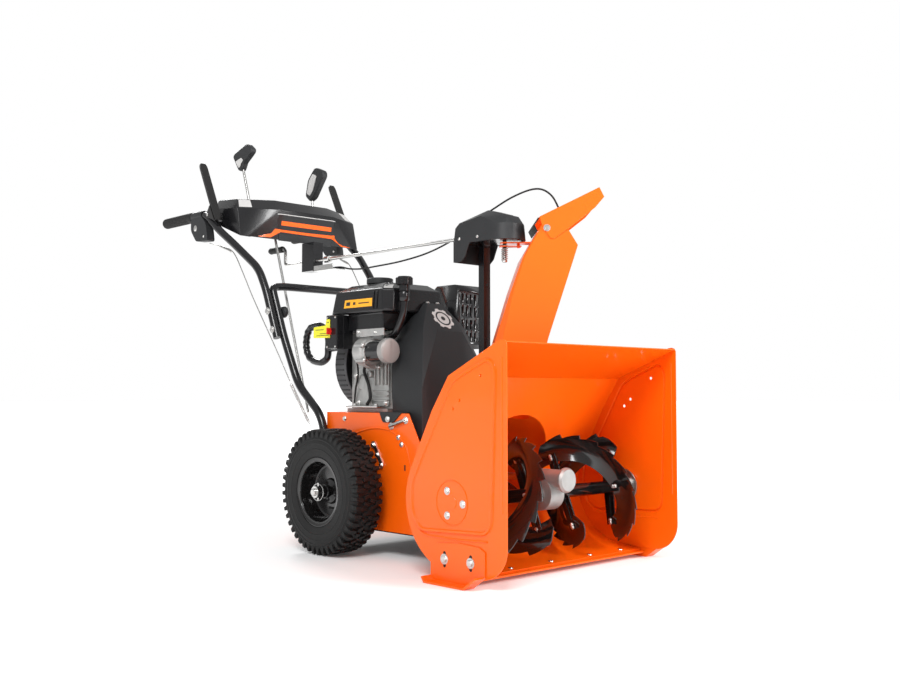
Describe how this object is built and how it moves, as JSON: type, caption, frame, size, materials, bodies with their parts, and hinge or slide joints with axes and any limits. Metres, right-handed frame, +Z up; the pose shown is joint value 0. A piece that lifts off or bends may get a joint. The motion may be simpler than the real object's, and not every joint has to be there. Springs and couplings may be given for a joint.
{
  "type": "snow blower",
  "caption": "Walk-behind two-stage snow blower with auger housing, turning discharge chute, engine, wheels and handlebars.",
  "frame": {"origin": "middle of the machine's footprint, on the ground", "axes": "-Y is forwards, towards the auger housing; +X is the machine's left; +Z is up"},
  "size_m": [0.69, 1.577, 1.2],
  "materials": {
    "orange_paint": "gloss powder coat",
    "black_paint": "gloss",
    "zinc_steel": "zinc plated",
    "cast_aluminium": "cast",
    "dark_plastic": "satin",
    "gloss_plastic": "gloss",
    "red_plastic": "gloss",
    "tyre": "matt",
    "rubber": "matt"
  },
  "bodies": {
    "tractor": {"tractor_frame": "orange_paint", "belly_pan": "black_paint", "engine_block": "cast_aluminium", "blower_housing": "dark_plastic", "fuel_tank": "gloss_plastic", "control_box": "dark_plastic", "muffler": "black_paint", "muffler_guard": "black_paint", "electric_starter": "dark_plastic", "belt_cover": "dark_plastic", "housing_wrap": "orange_paint", "side_plate_R": "orange_paint", "side_plate_L": "orange_paint", "scraper_bar": "orange_paint", "skid_shoe_R": "orange_paint", "skid_shoe_L": "orange_paint", "impeller_drum": "orange_paint", "auger_bearing_R": "zinc_steel", "auger_bearing_L": "zinc_steel", "auger_gearbox": "cast_aluminium", "chute_post": "black_paint", "chute_gear_cover": "dark_plastic", "crank_bracket": "black_paint", "handle_lower": "black_paint", "handle_upper_R": "black_paint", "handle_upper_L": "black_paint", "console": "dark_plastic", "grip_R": "rubber", "grip_L": "rubber", "deflector_cable": "gloss_plastic", "auger_cable": "zinc_steel", "traction_cable": "zinc_steel", "auger_belt": "rubber", "traction_belt": "rubber"},
    "wheels": {"drive_axle": "zinc_steel", "rim_R": "black_paint", "rim_L": "black_paint", "tyre_R": "tyre", "tyre_L": "tyre"},
    "hex_shaft": {"hex_shaft": "zinc_steel"},
    "friction_wheel": {"friction_wheel": "rubber"},
    "drive_plate": {"drive_plate": "cast_aluminium"},
    "crankshaft": {"crankshaft_pulley": "zinc_steel"},
    "impeller": {"impeller": "orange_paint", "impeller_shaft": "zinc_steel"},
    "augers": {"auger_shaft": "zinc_steel", "auger_rake_R": "black_paint", "auger_rake_L": "black_paint"},
    "chute": {"chute": "orange_paint"},
    "deflector": {"deflector": "orange_paint"},
    "chute_crank": {"chute_crank": "zinc_steel"},
    "recoil_handle": {"recoil_handle": "gloss_plastic"},
    "fuel_cap": {"fuel_cap": "dark_plastic"},
    "oil_cap": {"oil_cap": "dark_plastic"},
    "starter_key": {"starter_key": "red_plastic"},
    "auger_lever": {"auger_lever": "black_paint"},
    "traction_lever": {"traction_lever": "black_paint"},
    "speed_lever": {"speed_lever": "dark_plastic"},
    "shift_rod": {"shift_rod": "zinc_steel"},
    "deflector_lever": {"deflector_lever": "dark_plastic"}
  },
  "joints": [
    {"name": "wheel_spin", "type": "hinge", "parent": "tractor", "child": "wheels", "pos_m": [0, -0.0905, 0.163], "axis": [1, 0, 0], "continuous": true},
    {"name": "hex_spin", "type": "hinge", "parent": "tractor", "child": "hex_shaft", "pos_m": [0, -0.1165, 0.268], "axis": [1, 0, 0], "continuous": true},
    {"name": "friction_shift", "type": "slide", "parent": "hex_shaft", "child": "friction_wheel", "axis": [1, 0, 0], "range_m": [-0.038, 0.057]},
    {"name": "drive_plate_spin", "type": "hinge", "parent": "tractor", "child": "drive_plate", "pos_m": [0, -0.1845, 0.268], "axis": [0, 1, 0], "continuous": true},
    {"name": "crank_spin", "type": "hinge", "parent": "tractor", "child": "crankshaft", "pos_m": [0, -0.0905, 0.49], "axis": [0, 1, 0], "continuous": true},
    {"name": "impeller_spin", "type": "hinge", "parent": "tractor", "child": "impeller", "pos_m": [0, -0.4205, 0.213], "axis": [0, 1, 0], "continuous": true},
    {"name": "auger_spin", "type": "hinge", "parent": "tractor", "child": "augers", "pos_m": [0, -0.6225, 0.178], "axis": [1, 0, 0], "continuous": true},
    {"name": "chute_turn", "type": "hinge", "parent": "tractor", "child": "chute", "pos_m": [0, -0.4905, 0.4], "axis": [0, 0, 1], "range_deg": [-138, 42]},
    {"name": "chute_crank_turn", "type": "hinge", "parent": "tractor", "child": "chute_crank", "pos_m": [0, 0.2095, 0.826], "axis": [0, 1, 0], "range_deg": [-830, 254]},
    {"name": "deflector_tilt", "type": "hinge", "parent": "chute", "child": "deflector", "pos_m": [0.07283, -0.55607, 0.826], "axis": [0.6691, 0.7431, 0], "range_deg": [0, 55]},
    {"name": "deflector_lever_swing", "type": "hinge", "parent": "tractor", "child": "deflector_lever", "pos_m": [0.135, 0.4845, 0.925], "axis": [1, 0, 0], "range_deg": [0, 26]},
    {"name": "speed_lever_swing", "type": "hinge", "parent": "tractor", "child": "speed_lever", "pos_m": [-0.135, 0.4545, 0.925], "axis": [1, 0, 0], "range_deg": [-12, 18]},
    {"name": "shift_rod_slide", "type": "slide", "parent": "tractor", "child": "shift_rod", "axis": [-0.0901, -0.4273, -0.8996], "range_m": [-0.013, 0.019]},
    {"name": "auger_lever_squeeze", "type": "hinge", "parent": "tractor", "child": "auger_lever", "pos_m": [-0.25, 0.5095, 0.965], "axis": [-1, 0, 0], "range_deg": [0, 58], "stiffness_Nm_per_rad": 1, "springref_deg": -28.65},
    {"name": "traction_lever_squeeze", "type": "hinge", "parent": "tractor", "child": "traction_lever", "pos_m": [0.25, 0.5095, 0.965], "axis": [-1, 0, 0], "range_deg": [0, 58], "stiffness_Nm_per_rad": 1, "springref_deg": -28.65},
    {"name": "recoil_pull", "type": "slide", "parent": "tractor", "child": "recoil_handle", "axis": [0, 1, 0], "range_m": [0, 0.65], "stiffness_N_per_m": 20, "springref_m": -0.4},
    {"name": "starter_key_pull", "type": "slide", "parent": "tractor", "child": "starter_key", "axis": [-1, 0, 0], "range_m": [0, 0.012]},
    {"name": "fuel_cap_turn", "type": "hinge", "parent": "tractor", "child": "fuel_cap", "pos_m": [-0.06, -0.0705, 0.72], "axis": [0, 0, 1], "range_deg": [0, 120]},
    {"name": "oil_cap_turn", "type": "hinge", "parent": "tractor", "child": "oil_cap", "pos_m": [-0.112, -0.2325, 0.7], "axis": [0, 0, 1], "range_deg": [0, 180]}
  ],
  "couplings": [
    {"joint": "hex_spin", "follows": "wheel_spin", "ratio": -4},
    {"joint": "drive_plate_spin", "follows": "crank_spin", "ratio": 0.71429},
    {"joint": "auger_spin", "follows": "impeller_spin", "ratio": 0.1},
    {"joint": "chute_crank_turn", "follows": "chute_turn", "ratio": 6},
    {"joint": "deflector_lever_swing", "follows": "deflector_tilt", "ratio": 0.45},
    {"joint": "friction_shift", "follows": "speed_lever_swing", "m_per_rad": 0.18},
    {"joint": "shift_rod_slide", "follows": "speed_lever_swing", "m_per_rad": 0.06}
  ]
}
